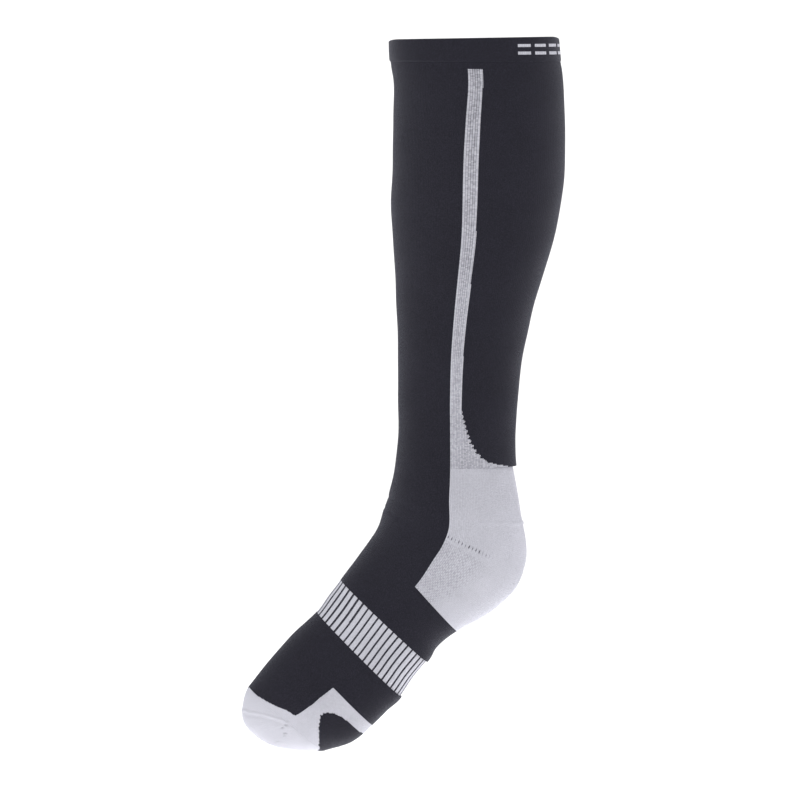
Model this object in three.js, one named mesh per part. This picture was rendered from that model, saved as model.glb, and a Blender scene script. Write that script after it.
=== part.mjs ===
// Knee-high compression stocking for a left leg: a knitted tube with a turned welt, a heel pocket,
// a ribbed arch band and a closed toe, filled out as it is when worn, with nobody in it.
// Millimetres. +Z runs up the leg, the toes point towards -Y and the outer side of the leg is +X.
// The origin is the centre of the rim, where the leg goes in.
import * as THREE from "three";

// Thickness of the cloth.
const WELT_WALL = 2.6; // the top is turned in and knitted double
const LEG_WALL = 1.5;
const FOOT_WALL = 1.7;
const CUSHION_WALL = 2.2; // terry loops line the heel and the toe
const SEAM_GAP = 0.3; // between neighbouring pieces

// Welt: a double band that stands proud of the leg, with a rounded fold at the rim.
const WELT_PROUD = 0.5;
const FOLD_RADIUS = WELT_WALL / 2;

// Arch band: elastic ribs that run along the foot, with a narrow groove between each two.
const RIB_COUNT = 46;
const RIB_PROFILE = [
  { share: 0, height: -0.3 },
  { share: 0.14, height: 0.35 },
  { share: 0.5, height: 0.6 },
  { share: 0.86, height: 0.35 },
];

// At the back the leg's knit ends in a small ledge. The splice above the heel starts this far inside it
// and comes out again over its length.
const LEDGE_DEPTH = 2.7;
const SPLICE_LENGTH = 32; // from the ledge to the seam across the back of the heel

// One row for each course of knitting that fixes the shape, from the rim to the start of the toe.
// y and down place its centre, tilt is how many degrees its back end hangs below level, depth runs
// from shin to calf (or instep to sole), width from side to side. square is the exponent of the oval,
// 2 for an ellipse, and egg is the share by which its back is fuller than its front. edge is the line
// between front and back, in degrees from the shin, where the heel pocket meets the instep.
const COURSES = [
  { name: "rim", y: 0, down: 0, tilt: -1, depth: 118, width: 84, square: 2.35, egg: 0.04, edge: 90 },
  { name: "welt_end", y: 1.2, down: 16, tilt: 0, depth: 118.8, width: 84, square: 2.3, egg: 0.05, edge: 90 },
  { name: "below_knee", y: 2.9, down: 29, tilt: 0, depth: 118, width: 84.5, square: 2.25, egg: 0.06, edge: 90 },
  { name: "upper_calf", y: 3.8, down: 57, tilt: 0, depth: 120, width: 87, square: 2.2, egg: 0.08, edge: 90 },
  { name: "calf", y: 3.5, down: 85, tilt: 0, depth: 120.8, width: 88, square: 2.2, egg: 0.1, edge: 90 },
  { name: "calf_end", y: 1.9, down: 113, tilt: 0, depth: 119, width: 87, square: 2.2, egg: 0.1, edge: 90 },
  { name: "shin_1", y: -0.4, down: 141, tilt: 0, depth: 111.7, width: 82, square: 2.2, egg: 0.1, edge: 90 },
  { name: "shin_2", y: -3.7, down: 169, tilt: 0, depth: 102.2, width: 76, square: 2.2, egg: 0.09, edge: 90 },
  { name: "shin_3", y: -7, down: 197, tilt: 0, depth: 93.5, width: 70, square: 2.2, egg: 0.07, edge: 90 },
  { name: "shin_4", y: -9.5, down: 225, tilt: 0, depth: 86.5, width: 64, square: 2.2, egg: 0.05, edge: 90 },
  { name: "above_ankle", y: -10.9, down: 253, tilt: 0, depth: 83.5, width: 60, square: 2.2, egg: 0.02, edge: 90 },
  { name: "ankle", y: -12.1, down: 281, tilt: 0, depth: 82.4, width: 57, square: 2.2, egg: -0.02, edge: 88 },
  { name: "heel_top", y: -12.9, down: 298.6, tilt: 0, depth: 84.2, width: 57, square: 2.15, egg: -0.06, edge: 85 },
  { name: "tendon", y: -12.6, down: 320.3, tilt: 10, depth: 91.9, width: 60, square: 2.1, egg: -0.08, edge: 84 },
  { name: "gore", y: -12.3, down: 345.8, tilt: 24, depth: 106.1, width: 63, square: 2.1, egg: -0.08, edge: 83 },
  { name: "heel_ball", y: -16.5, down: 357, tilt: 31, depth: 107.5, width: 62.5, square: 2.1, egg: -0.07, edge: 82.5 },
  { name: "heel_base", y: -23.9, down: 366.3, tilt: 38, depth: 102.5, width: 60, square: 2.15, egg: -0.05, edge: 83.5 },
  { name: "heel_end", y: -41.1, down: 381.4, tilt: 48.5, depth: 89.5, width: 54, square: 2.2, egg: -0.02, edge: 90 },
  { name: "arch", y: -52, down: 393.2, tilt: 47.2, depth: 84.5, width: 50, square: 2.25, egg: 0, edge: 90 },
  { name: "band_top", y: -63, down: 407.4, tilt: 43.6, depth: 82.6, width: 46.5, square: 2.3, egg: 0, edge: 90 },
  { name: "band_middle", y: -71.8, down: 419.2, tilt: 44.3, depth: 81.2, width: 44.5, square: 2.3, egg: 0, edge: 90 },
  { name: "band_end", y: -80.6, down: 430.8, tilt: 45.3, depth: 82.8, width: 45, square: 2.3, egg: 0, edge: 90 },
  { name: "ball", y: -98.9, down: 449.4, tilt: 46, depth: 84.8, width: 45, square: 2.25, egg: 0, edge: 90 },
  { name: "toe_joint", y: -114.8, down: 464.7, tilt: 44.6, depth: 81.5, width: 42.5, square: 2.2, egg: 0, edge: 90 },
  { name: "toe_start", y: -131.3, down: 476.6, tilt: 40.7, depth: 69.8, width: 37, square: 2.15, egg: 0, edge: 90 },
];

// Toe: a rounded cap past the last course. Its tip lies this far from that course's centre, and the
// cap goes on narrowing from the start as the foot does before it.
const TOE_TIP = { y: -22.2, down: 11.6 };
const TOE_NARROWING = 0.355;
const TOE_LENGTH = Math.hypot(TOE_TIP.y, TOE_TIP.down);

const MEASURES = ["y", "down", "tilt", "depth", "width", "square", "egg", "edge"];
const ARC_STEPS = 96; // fine steps that measure the way round part of a course
const DIFFERENCE = 0.02; // step of the slopes that give a normal

// How far along the tube each course lies, counted from centre to centre.
const stations = COURSES.map(() => 0);
for (let i = 1; i < COURSES.length; i += 1) {
  const [before, here] = [COURSES[i - 1], COURSES[i]];
  stations[i] = stations[i - 1] + Math.hypot(here.y - before.y, here.down - before.down);
}
const TOE_START = stations.at(-1);
const TOE_END = TOE_START + TOE_LENGTH;

function stationOf(name) {
  return stations[COURSES.findIndex((course) => course.name === name)];
}

// Slope of one measure at row i: that of the parabola through the row and its two neighbours.
function slopeAt(i, measure) {
  const rise = (k) => (COURSES[k + 1][measure] - COURSES[k][measure]) / (stations[k + 1] - stations[k]);
  if (i === 0) return rise(0);
  if (i === COURSES.length - 1) return rise(i - 1);
  const before = stations[i] - stations[i - 1];
  const after = stations[i + 1] - stations[i];
  return (rise(i - 1) * after + rise(i) * before) / (before + after);
}

// The course at a station between the rim and the toe, on smooth curves through the rows.
function drafted(station) {
  const last = COURSES.length - 2;
  const found = stations.findIndex((s, k) => k > 0 && station <= s);
  const i = found < 0 ? last : Math.min(found - 1, last);
  const span = stations[i + 1] - stations[i];
  const t = (station - stations[i]) / span;
  const course = {};
  for (const measure of MEASURES) {
    const [from, to] = [COURSES[i][measure], COURSES[i + 1][measure]];
    course[measure] =
      from * (1 + 2 * t) * (1 - t) ** 2 +
      to * t * t * (3 - 2 * t) +
      span * (slopeAt(i, measure) * t * (1 - t) ** 2 - slopeAt(i + 1, measure) * t * t * (1 - t));
  }
  return course;
}

// Any course: past the toe's start it is the first one of the cap, moved to the tip and shrunk.
function courseAt(station) {
  if (station <= TOE_START) return drafted(station);
  const turn = (((station - TOE_START) / TOE_LENGTH) * Math.PI) / 2;
  const first = drafted(TOE_START);
  const size = Math.cos(turn) * (1 - TOE_NARROWING * Math.sin(turn) * Math.cos(turn));
  return {
    ...first,
    y: first.y + TOE_TIP.y * Math.sin(turn),
    down: first.down + TOE_TIP.down * Math.sin(turn),
    depth: first.depth * size,
    width: first.width * size,
  };
}

// Unit vectors of a course: towards its back, and down the tube.
function directions(course) {
  const tilt = THREE.MathUtils.degToRad(course.tilt);
  return {
    back: new THREE.Vector3(0, Math.cos(tilt), -Math.sin(tilt)),
    onward: new THREE.Vector3(0, -Math.sin(tilt), -Math.cos(tilt)),
  };
}

// A point of the course's oval. The angle is in degrees from the shin, by way of the outer side.
function ovalPoint(course, angle) {
  const turn = THREE.MathUtils.degToRad(angle);
  const [c, s] = [Math.cos(turn), Math.sin(turn)];
  const fullness = (Math.abs(c) ** course.square + Math.abs(s) ** course.square) ** (-1 / course.square);
  const across = (fullness * s * course.width * (1 - course.egg * c)) / 2;
  return new THREE.Vector3(across, course.y, -course.down).addScaledVector(
    directions(course).back,
    (-fullness * c * course.depth) / 2,
  );
}

// Outward normal of the drafted surface.
function normalAt(station, angle) {
  const before = Math.max(0, station - DIFFERENCE);
  const after = Math.min(TOE_END - DIFFERENCE, station + DIFFERENCE);
  const down = ovalPoint(courseAt(after), angle).sub(ovalPoint(courseAt(before), angle));
  const here = courseAt(Math.min(station, TOE_END - DIFFERENCE));
  const round = ovalPoint(here, angle + DIFFERENCE).sub(ovalPoint(here, angle - DIFFERENCE));
  return down.cross(round).normalize();
}

// Angles that divide the way round a course, from one angle to another, at these shares of its length.
function anglesAtShares(course, from, to, shares) {
  const angles = [from];
  const lengths = [0];
  let last = ovalPoint(course, from);
  for (let k = 1; k <= ARC_STEPS; k += 1) {
    const angle = from + ((to - from) * k) / ARC_STEPS;
    const point = ovalPoint(course, angle);
    angles.push(angle);
    lengths.push(lengths[k - 1] + point.distanceTo(last));
    last = point;
  }
  return shares.map((share) => {
    const wanted = share * lengths[ARC_STEPS];
    const k = Math.max(1, lengths.findIndex((length) => length >= wanted - 1e-9));
    const part = (wanted - lengths[k - 1]) / (lengths[k] - lengths[k - 1]);
    return angles[k - 1] + (angles[k] - angles[k - 1]) * part;
  });
}

const evenShares = (count) => Array.from({ length: count + 1 }, (_, k) => k / count);

// Columns all round the tube: the back from its outer edge to the inner one, then the front.
function roundColumns(shares) {
  return (course) => [
    ...anglesAtShares(course, course.edge, 360 - course.edge, shares).slice(0, -1),
    ...anglesAtShares(course, 360 - course.edge, 360 + course.edge, shares).slice(0, -1),
  ];
}

// Columns of the back or the front alone, half a seam gap short of each edge.
function panelColumns(isBack, count) {
  return (course) => {
    const gap = THREE.MathUtils.radToDeg(SEAM_GAP / course.depth);
    const from = isBack ? course.edge : 360 - course.edge;
    const to = isBack ? 360 - course.edge : 360 + course.edge;
    return anglesAtShares(course, from + gap, to - gap, evenShares(count));
  };
}

// Rows of a piece from one station to another, half a seam gap short of a seam at either end.
function rowsBetween(from, to, count, { seamBefore = true, seamAfter = true } = {}) {
  return evenShares(count).map((share, k) => ({
    station: from + (to - from) * share,
    shift: (k === 0 && seamBefore ? SEAM_GAP / 2 : 0) - (k === count && seamAfter ? SEAM_GAP / 2 : 0),
  }));
}

// A closed wall of cloth. Its outer points lie on the drafted surface, or stand proud of it by
// proud(row, column), and its inner points lie a thickness further in. round joins the last column to
// the first, and tip closes the last row in one point.
function clothWall({ rows, columns, thickness, proud = () => 0, round = true, tip = false }) {
  const sheets = { outer: [], inner: [] };
  rows.forEach((row, i) => {
    const course = courseAt(row.station);
    const { onward } = directions(course);
    const angles = tip && i === rows.length - 1 ? [0] : columns(course);
    sheets.outer.push([]);
    sheets.inner.push([]);
    angles.forEach((angle, j) => {
      const normal = angles.length === 1 ? onward : normalAt(row.station, angle);
      const point = ovalPoint(course, angle).addScaledVector(onward, row.shift);
      const out = proud(i, j);
      const depth = typeof thickness === "function" ? thickness(i, j) : thickness;
      sheets.outer[i].push(point.clone().addScaledVector(normal, out));
      sheets.inner[i].push(point.clone().addScaledVector(normal, -depth));
    });
  });
  return closedGeometry(sheets, round, tip);
}

function closedGeometry({ outer, inner }, round, tip) {
  const positions = [];
  const number = new Map();
  for (const point of [...outer.flat(), ...inner.flat()]) {
    number.set(point, positions.length / 3);
    positions.push(point.x, point.y, point.z);
  }
  const faces = [];
  const face = (...points) => {
    const ids = points.map((point) => number.get(point));
    for (let k = 2; k < ids.length; k += 1) faces.push(ids[0], ids[k - 1], ids[k]);
  };
  const lastRow = outer.length - 1;
  const columnCount = outer[0].length;
  for (let j = 0; j < (round ? columnCount : columnCount - 1); j += 1) {
    const next = (j + 1) % columnCount;
    face(outer[0][j], outer[0][next], inner[0][next], inner[0][j]);
    for (let i = 0; i < lastRow; i += 1) {
      if (tip && i === lastRow - 1) {
        face(outer[i][j], outer[lastRow][0], outer[i][next]);
        face(inner[i][j], inner[i][next], inner[lastRow][0]);
      } else {
        face(outer[i][j], outer[i + 1][j], outer[i + 1][next], outer[i][next]);
        face(inner[i][j], inner[i][next], inner[i + 1][next], inner[i + 1][j]);
      }
    }
    if (!tip) face(outer[lastRow][j], inner[lastRow][j], inner[lastRow][next], outer[lastRow][next]);
  }
  if (!round) {
    const end = columnCount - 1;
    for (let i = 0; i < lastRow; i += 1) {
      face(outer[i][0], inner[i][0], inner[i + 1][0], outer[i + 1][0]);
      face(outer[i][end], outer[i + 1][end], inner[i + 1][end], inner[i][end]);
    }
  }
  return new THREE.BufferGeometry()
    .setAttribute("position", new THREE.Float32BufferAttribute(positions, 3))
    .setIndex(faces);
}

const ROUND_COUNT = 24; // columns in each half of a plain tube

// The welt: its rim is a rounded fold, and its lower edge steps down to the leg.
function cuffGeometry() {
  const end = stationOf("welt_end");
  const fold = [0, 30, 60, 90].map((degrees) => {
    const turn = THREE.MathUtils.degToRad(degrees);
    return { station: FOLD_RADIUS * (1 - Math.sin(turn)), inset: FOLD_RADIUS * (1 - Math.cos(turn)) };
  });
  fold.reverse();
  fold[0].inset -= 0.05; // leaves a narrow flat on the crown, so that the fold stays closed
  const rows = [
    ...fold.map(({ station, inset }) => ({ station, shift: 0, inset })),
    { station: end / 2, shift: 0, inset: 0 },
    { station: end, shift: -SEAM_GAP / 2, inset: 0 },
  ];
  return clothWall({
    rows,
    columns: roundColumns(evenShares(ROUND_COUNT)),
    proud: (i) => WELT_PROUD - rows[i].inset,
    thickness: (i) => WELT_WALL - WELT_PROUD - rows[i].inset,
  });
}

// A zone of the leg between two courses. From the welt to the heel the knit gets tighter in four zones.
function legGeometry(from, to, rowCount) {
  return clothWall({
    rows: rowsBetween(stationOf(from), stationOf(to), rowCount),
    columns: roundColumns(evenShares(ROUND_COUNT)),
    thickness: LEG_WALL,
  });
}

// The splice: the cushioned panel over the tendon, above the heel.
function heelSpliceGeometry() {
  const rowCount = 5;
  const ledge = (i, j) => {
    const left = 1 - i / rowCount;
    return -LEDGE_DEPTH * left * left * Math.sin((Math.PI * j) / ROUND_COUNT);
  };
  const start = stationOf("heel_top");
  return clothWall({
    rows: rowsBetween(start, start + SPLICE_LENGTH, rowCount),
    columns: panelColumns(true, ROUND_COUNT),
    thickness: (i, j) => CUSHION_WALL - ledge(i, j),
    proud: ledge,
    round: false,
  });
}

// The heel itself, knitted as a cushioned pocket.
function heelGeometry() {
  return clothWall({
    rows: rowsBetween(stationOf("heel_top") + SPLICE_LENGTH, stationOf("heel_end"), 8),
    columns: panelColumns(true, ROUND_COUNT),
    thickness: CUSHION_WALL,
    round: false,
  });
}

// The front half between leg and foot, which bends over the instep.
function instepGeometry() {
  return clothWall({
    rows: rowsBetween(stationOf("heel_top"), stationOf("heel_end"), 10),
    columns: panelColumns(false, ROUND_COUNT),
    thickness: LEG_WALL,
    round: false,
  });
}

function midfootGeometry() {
  return clothWall({
    rows: rowsBetween(stationOf("heel_end"), stationOf("band_top"), 3),
    columns: roundColumns(evenShares(ROUND_COUNT)),
    thickness: FOOT_WALL,
  });
}

// The arch band: each rib takes one turn of the profile, on the outside only.
function archBandGeometry() {
  const ribsInHalf = RIB_COUNT / 2;
  const shares = Array.from({ length: ribsInHalf }, (_, rib) =>
    RIB_PROFILE.map(({ share }) => (rib + share) / ribsInHalf),
  ).flat();
  return clothWall({
    rows: rowsBetween(stationOf("band_top"), stationOf("band_end"), 4),
    columns: roundColumns([...shares, 1]),
    thickness: FOOT_WALL,
    proud: (_, j) => RIB_PROFILE[j % RIB_PROFILE.length].height,
  });
}

// The foot past the band, and the zone before the toe where the pale yarn comes in.
function forefootGeometry() {
  return clothWall({
    rows: rowsBetween(stationOf("band_end"), stationOf("ball"), 3),
    columns: roundColumns(evenShares(ROUND_COUNT)),
    thickness: FOOT_WALL,
  });
}

function toeBaseGeometry() {
  return clothWall({
    rows: rowsBetween(stationOf("ball"), TOE_START, 4),
    columns: roundColumns(evenShares(ROUND_COUNT)),
    thickness: FOOT_WALL,
  });
}

function toeGeometry() {
  return clothWall({
    rows: rowsBetween(TOE_START, TOE_END, 9, { seamAfter: false }),
    columns: roundColumns(evenShares(ROUND_COUNT)),
    thickness: CUSHION_WALL,
    tip: true,
  });
}

const blackKnit = new THREE.MeshStandardMaterial({ color: 0x2e2e33, roughness: 0.92, metalness: 0 });
const greyKnit = new THREE.MeshStandardMaterial({ color: 0xc6c5d0, roughness: 0.95, metalness: 0 });

const PIECES = [
  { name: "cuff", make: cuffGeometry, material: blackKnit },
  { name: "upper_calf", make: () => legGeometry("welt_end", "calf", 4), material: blackKnit },
  { name: "lower_calf", make: () => legGeometry("calf", "shin_1", 3), material: blackKnit },
  { name: "shin", make: () => legGeometry("shin_1", "shin_4", 4), material: blackKnit },
  { name: "ankle", make: () => legGeometry("shin_4", "heel_top", 4), material: blackKnit },
  { name: "instep", make: instepGeometry, material: blackKnit },
  { name: "heel_splice", make: heelSpliceGeometry, material: greyKnit },
  { name: "heel", make: heelGeometry, material: greyKnit },
  { name: "midfoot", make: midfootGeometry, material: blackKnit },
  { name: "arch_band", make: archBandGeometry, material: greyKnit },
  { name: "forefoot", make: forefootGeometry, material: blackKnit },
  { name: "toe_base", make: toeBaseGeometry, material: blackKnit },
  { name: "toe", make: toeGeometry, material: greyKnit },
];

const stocking = new THREE.Group();
for (const { name, make, material } of PIECES) {
  const mesh = new THREE.Mesh(make(), material);
  mesh.name = name;
  stocking.add(mesh);
}

export default stocking;
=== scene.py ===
"""The looks of a knee-high compression stocking for a left leg, knitted round in black and pale grey.

Every piece is a thin closed shell of cloth on one drafted surface. Two numbers name a point of it: the
station, in millimetres along the tube from the rim, and the wale, the count of stitch columns from the
line where the side stripe starts, backwards round the heel side and on round the shin side. Where a form
belongs to one side of the leg, degrees from the shin give its place round the tube: 0 at the shin, 90 at
the side and 180 at the calf.
"""

import math

import bpy
import numpy as np
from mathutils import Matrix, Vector


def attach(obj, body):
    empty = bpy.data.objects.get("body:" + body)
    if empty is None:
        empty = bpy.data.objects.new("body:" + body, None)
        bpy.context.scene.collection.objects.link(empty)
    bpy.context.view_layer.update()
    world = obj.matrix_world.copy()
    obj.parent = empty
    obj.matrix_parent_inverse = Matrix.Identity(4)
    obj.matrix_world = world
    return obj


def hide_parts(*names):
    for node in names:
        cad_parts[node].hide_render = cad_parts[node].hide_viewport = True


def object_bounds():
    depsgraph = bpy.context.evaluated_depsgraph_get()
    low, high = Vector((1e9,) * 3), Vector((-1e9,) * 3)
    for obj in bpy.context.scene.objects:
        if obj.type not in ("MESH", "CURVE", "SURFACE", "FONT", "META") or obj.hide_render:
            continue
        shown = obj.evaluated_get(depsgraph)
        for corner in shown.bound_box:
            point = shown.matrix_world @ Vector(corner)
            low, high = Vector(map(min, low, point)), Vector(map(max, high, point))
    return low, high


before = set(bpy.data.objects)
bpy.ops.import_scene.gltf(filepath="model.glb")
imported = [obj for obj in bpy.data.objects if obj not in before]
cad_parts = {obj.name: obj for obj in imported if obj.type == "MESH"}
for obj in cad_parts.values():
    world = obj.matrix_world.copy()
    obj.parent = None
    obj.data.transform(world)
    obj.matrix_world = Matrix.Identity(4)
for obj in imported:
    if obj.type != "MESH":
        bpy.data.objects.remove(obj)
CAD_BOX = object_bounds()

bl_info = {
    "name": "Compression stocking",
    "version": (1, 0, 0),
    "blender": (4, 5, 0),
    "location": "View3D > Sidebar > Stocking",
    "description": "Builds a knitted knee-high compression stocking and a plain studio round it",
    "category": "Add Mesh",
}

MM = 0.001

# Drafted surface. One row for each course that fixes the shape: y and down place its centre, tilt is
# how many degrees its back end hangs below level, depth runs from shin to calf, width from side to
# side, square is the exponent of the oval, egg the share by which its back is fuller than its front,
# and edge the line between front and back in degrees from the shin.
MEASURES = ("y", "down", "tilt", "depth", "width", "square", "egg", "edge")
COURSES = {
    "rim": (0, 0, -1, 118, 84, 2.35, 0.04, 85),
    "welt_end": (1.2, 16, 0, 118.8, 84, 2.3, 0.05, 84),
    "below_knee": (2.9, 29, 0, 118, 84.5, 2.25, 0.06, 83),
    "upper_calf": (3.8, 57, 0, 120, 87, 2.2, 0.08, 80.6),
    "calf": (3.5, 85, 0, 120.8, 88, 2.2, 0.1, 79.5),
    "calf_end": (1.9, 113, 0, 119, 87, 2.2, 0.1, 80.3),
    "shin_1": (-0.4, 141, 0, 111.7, 82, 2.2, 0.1, 81),
    "shin_2": (-3.7, 169, 0, 102.2, 76, 2.2, 0.09, 81),
    "shin_3": (-7, 197, 0, 93.5, 70, 2.2, 0.07, 81),
    "shin_4": (-9.5, 225, 0, 86.5, 64, 2.2, 0.05, 81.2),
    "above_ankle": (-10.9, 253, 0, 83.5, 60, 2.2, 0.02, 82),
    "ankle": (-12.1, 281, 0, 82.4, 57, 2.2, -0.02, 83.8),
    "heel_top": (-12.9, 298.6, 0, 84.2, 57, 2.15, -0.06, 85),
    "tendon": (-12.6, 320.3, 10, 91.9, 60, 2.1, -0.08, 84),
    "gore": (-12.3, 345.8, 24, 106.1, 63, 2.1, -0.08, 83),
    "heel_ball": (-16.5, 357, 31, 107.5, 62.5, 2.1, -0.07, 82.5),
    "heel_base": (-23.9, 366.3, 38, 102.5, 60, 2.15, -0.05, 83.5),
    "heel_end": (-41.1, 381.4, 48.5, 89.5, 54, 2.2, -0.02, 90),
    "arch": (-52, 393.2, 47.2, 84.5, 50, 2.25, 0, 90),
    "band_top": (-63, 407.4, 43.6, 82.6, 46.5, 2.3, 0, 90),
    "band_middle": (-71.8, 419.2, 44.3, 81.2, 44.5, 2.3, 0, 90),
    "band_end": (-80.6, 430.8, 45.3, 82.8, 45, 2.3, 0, 90),
    "ball": (-98.9, 449.4, 46, 84.8, 45, 2.25, 0, 90),
    "toe_joint": (-114.8, 464.7, 44.6, 81.5, 42.5, 2.2, 0, 90),
    "toe_start": (-131.3, 476.6, 40.7, 69.8, 37, 2.15, 0, 90),
}
TOE_TIP = (-22.2, 11.6)  # y and down of the tip, from the centre of the toe's first course
TOE_NARROWING = 0.355
ARC_STEPS = 96  # fine steps that measure the way round half a course

TABLE = np.array(list(COURSES.values()), float)
STATIONS = np.concatenate([[0], np.hypot(*np.diff(TABLE[:, :2], axis=0).T).cumsum()])
STATION = dict(zip(COURSES, STATIONS))
TOE_START = STATIONS[-1]
TOE_LENGTH = math.hypot(*TOE_TIP)
TOE_END = TOE_START + TOE_LENGTH

# Knitting.
WALES = 220  # stitch columns all round
HALF = WALES // 2
RIB_WALES = 5  # four pale wales and one dark one to each rib of the arch band
COURSE_MM = 0.95  # height of a stitch

# Thickness of the cloth, in millimetres.
WELT_WALL = 2.6
LEG_WALL = 1.5
FOOT_WALL = 1.7
CUSHION_WALL = 2.2
THINNEST_WALL = 0.2  # on the fold of the rim

# Mesh. A pitch is the way from one row to the next, in millimetres.
COLUMNS_A_WALE = 3
INNER_SKIP = 4  # rows of a piece's outer side to each row of its inner side
SHARP_ANGLE = math.radians(62)
LEG_PITCH = 2.6
FLARE_PITCH = 0.8
HEEL_PITCH = 0.7
INSTEP_PITCH = 1.3
BAND_PITCH = 0.75
FOOT_PITCH = 1.1
TOE_EDGE_PITCH = 0.65
FLARE_ROWS_START = 248  # stations from which the rows lie closer together
TOE_EDGE_ROWS_START = 482
FOLD_ROWS = 7
TOE_ROWS = 69
TOE_CROWDING = 0.9  # below 1 the toe's rows lie closer at the tip
TIP_GAP = 0.01  # the last row stops this far before the tip

# Cloth that each piece takes of the tube.
HEEL_SHARE = 0.55
INSTEP_SHARE = 0.45

# Side stripe and the flare that it widens to above the heel, both knitted from the two yarns.
STRIPE_WALES = np.array([(21, 6.4), (45, 6), (110, 5.95), (182, 6.6), (250, 7)])  # station, its width
STRIPE_PALE = np.array([(21, 0.67), (140, 0.73), (262, 0.79)])  # station, share of pale yarn
STRIPE_START = 21.6
STRIPE_TOOTH = 0.9  # every second wale starts this much higher
OUTER_WALES_END = 262  # down to here the stripe's two outer wales are paler
OUTER_WALES_PALER = 0.11
FLARE_START = 250
FLARE_PALE = 0.75
# Back edge of the flare: station, degrees from the shin.
FLARE = np.array(
    [
        (250, 90), (258, 92.9), (270, 97.6), (281, 103), (288.7, 109.4), (294.4, 117.6),
        (297.5, 130), (299.4, 153), (299.6, 181),
    ]
)
SCALLOP_MM = 3.4  # width of the small scallops along the flare's back edge
SCALLOP_DEPTH = np.array([(255, 0.6), (266, 2.2), (300, 4.5)])  # station, degrees
SCALLOP_MIDDLE = 0.64  # share of a scallop's depth that lies before the edge's own line

# Two rows of plain dashes on the cuff.
DASH_ROWS = ((4.5, 7), (9.3, 11.8))  # stations
DASH_WALES = (22, 55)
DASH_PITCH = 8  # wales from each dash to the next
DASH_LENGTH = 6
DASH_PALE = 0.9

# Where the pale toe starts, all round: degrees from the shin, station. It makes a notch at the side
# and then rises in one step to the course where the band under the ball of the foot starts.
TOE_EDGE = np.array(
    [
        (0, 525.6), (43, 525.2), (60, 523.4), (71, 521.4), (80, 519), (91, 517.7), (91.9, 495.7),
        (93.9, 484.3), (180, 484.3),
    ]
)
# Front edge of the black patch under the toes: station, degrees from the shin.
PATCH = np.array(
    [
        (493.4, 181), (494, 138), (494.6, 122), (496.2, 115), (498.6, 109.6), (501.2, 106.4),
        (505, 105.7), (511.5, 114.6), (517.2, 125.8), (524, 143.5), (529.5, 181),
    ]
)
PATCH_STITCH = 1.3  # millimetres between the steps, a degree back or forth, of the patch's front edge
# Lines of linked stitches: degrees from the shin, station.
HEEL_SEAM = np.array([(100, 334.5), (110.5, 333.5), (128.7, 330.5), (167, 328.4), (180, 328.2)])
TOE_SEAM = np.array([(0, 537.4), (45, 534.5), (65, 530.4), (77, 528), (88, 525.6)])
HEEL_SEAM_START = (104, 112)  # degrees from the shin over which the heel's line fades in
TOE_SEAM_END = (86, 96)  # and those over which the toe's line fades out
# Small dents and, with a negative depth, swellings beside the end of the toe seam: station, degrees
# from the shin, half its size and its depth in millimetres.
# The dents are also painted darker as shade in the toe's colour.
TOE_DENTS = (
    (524.6, 91, 1.1, 0.5),
    (526.6, 94.5, 1.2, 0.45),
    (528.8, 96, 1.0, 0.5),
    (526, 100, 2.6, -0.3),
    (530, 105.5, 1.2, 0.5),
    (531.4, 109.5, 1.0, 0.35),
    (536.6, 121, 1.5, 0.4),
    (538.5, 126, 1.1, 0.3),
    (531, 90, 3, -0.25),
)
TOE_DEGREE = 0.42  # millimetres round the toe to a degree
# The gore line, where heel and gusset meet: its station, its start and end in degrees from the shin.
GORE_STATION = 349.8
GORE_START = (81, 84)
GORE_END = 122
HOLE_WALES = 2  # from each hole along the gore line to the next
HOLE_SLANT = 0.9  # millimetres along the tube to a wale
HOLE_LENGTH = 1.6  # half of it, in millimetres
HOLE_WIDTH = 0.62  # half of it, in wales
OPEN_KNIT_MM = 1.9  # height of the openings below the gore line, in the relief
OPEN_KNIT_ROW = 1.4  # and in the colour
SPLICE_LENGTH = 32  # from the ledge above the heel to the seam across its back
RIBS_END = (318, 334)  # stations over which the heel's fine ribs fade out

# Low forms of the cloth, in millimetres: height or depth, and half the length along the tube.
WELT_CREASE = (0.3, 6)
LEG_END_FLARE = (1.3, 26)
INSTEP_BEND = 0.35
INSTEP_BENDS = ((338, 6), (356, 5))  # station of each, half its length
HEEL_SEAM_RIDGE = (0.75, 1.3)
GORE_RIDGE = (0.35, 3.5)
HOLE_DEPTH = 0.9
OPEN_KNIT_DEPTH = 0.22
BAND_FULLER = (0.9, 14)
BAND_SWELL = (0.15, 1.2, 12)  # all round, more of it under the foot, half the length
WELT_TUCK = 0.45  # how far the welt's last row is drawn in
WELT_AT_SIDES = 0.45  # share of the welt's step that is left at the sides
RIM_DIP = (0.4, 1.0, 9)  # all round, more of it at shin and calf, its length
RIM_RISE = (0.8, 14)  # its height and its length

# Material of the yarns.
STITCH_SLANT = 1.3  # how steeply the two legs of a stitch rise to its middle
MARL_CONTRAST = 1.6  # how far stitches differ where both yarns are knitted together
FLECK_SCALE = 1400
FLECK_HEIGHT = 0.35
CLOUD_SCALE = 26
STITCH_DEPTH = 0.00025
SPECULAR = 0.15
SHEEN_ROUGHNESS = 0.45
SHEEN_TINT = (0.86, 0.87, 1.0, 1.0)

# Studio, in metres. The sweep's floor runs from its front back to its reach, where the curve starts.
SWEEP_FRONT = 7.0
SWEEP_REACH = 4.0
SWEEP_RADIUS = 1.2
SWEEP_HALF_WIDTH = 7.0
SWEEP_HEIGHT = 7.0
PAPER_WHITE = 0.9
VIEW_MIDDLE = (0.0, -0.0515, -0.2527)
WALL_LIGHT_AIM = (-4.0, 0.0, -0.7)
LOW_LIGHT_RISE = 0.03  # over the floor


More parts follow.
